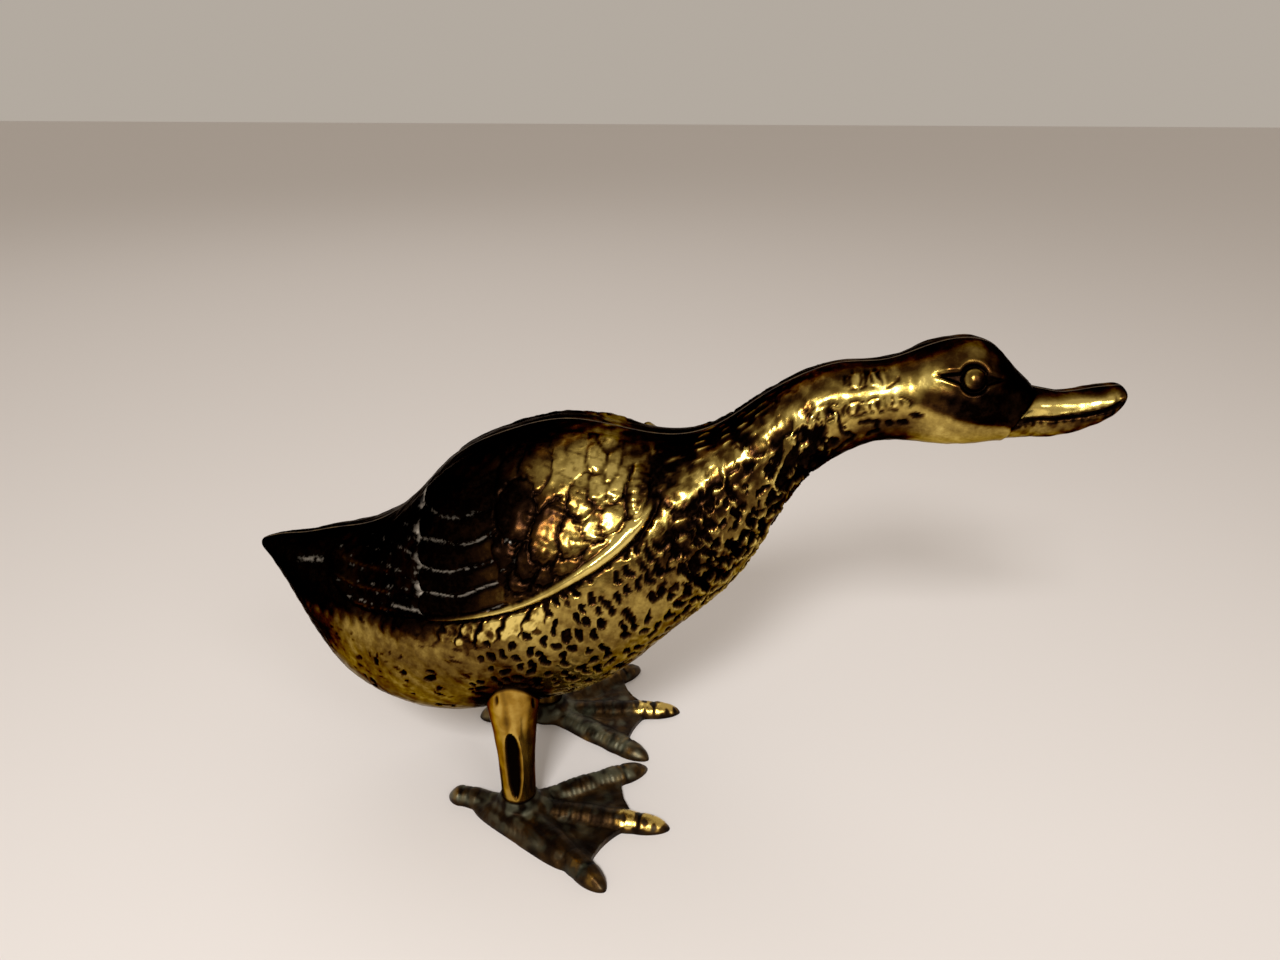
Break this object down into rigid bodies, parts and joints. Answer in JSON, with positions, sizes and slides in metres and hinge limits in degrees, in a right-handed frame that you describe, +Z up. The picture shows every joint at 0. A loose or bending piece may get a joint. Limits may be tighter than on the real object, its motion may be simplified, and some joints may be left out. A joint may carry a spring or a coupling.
{
  "type": "brass duck figurine",
  "caption": "Free-standing hollow cast brass duck with outstretched neck, folded wings and separate legs on flat webbed feet, for a shelf or table.",
  "frame": {"origin": "on the table, under the middle of the duck's overall length and width", "axes": "+X forward to the bill, +Y to the duck's left, +Z up"},
  "size_m": [0.2, 0.09, 0.119],
  "materials": {
    "body_brass": "cast, chased and polished on the high spots, dark brown patina in the hollows and over the back",
    "seam_braze": "brazing alloy filed flush",
    "leg_brass": "smooth polished",
    "stud_brass": "drawn rod",
    "foot_brass": "cast, dark green-brown patina with rubbed nails and ridges",
    "screw_brass": "turned"
  },
  "bodies": {
    "root": {"body_half_right": "body_brass", "body_half_left": "body_brass", "seam_braze": "seam_braze", "leg_right": "leg_brass", "leg_left": "leg_brass", "leg_stud_right": "stud_brass", "leg_stud_left": "stud_brass", "foot_right": "foot_brass", "foot_left": "foot_brass", "foot_screw_right": "screw_brass", "foot_screw_left": "screw_brass"}
  },
  "joints": []
}
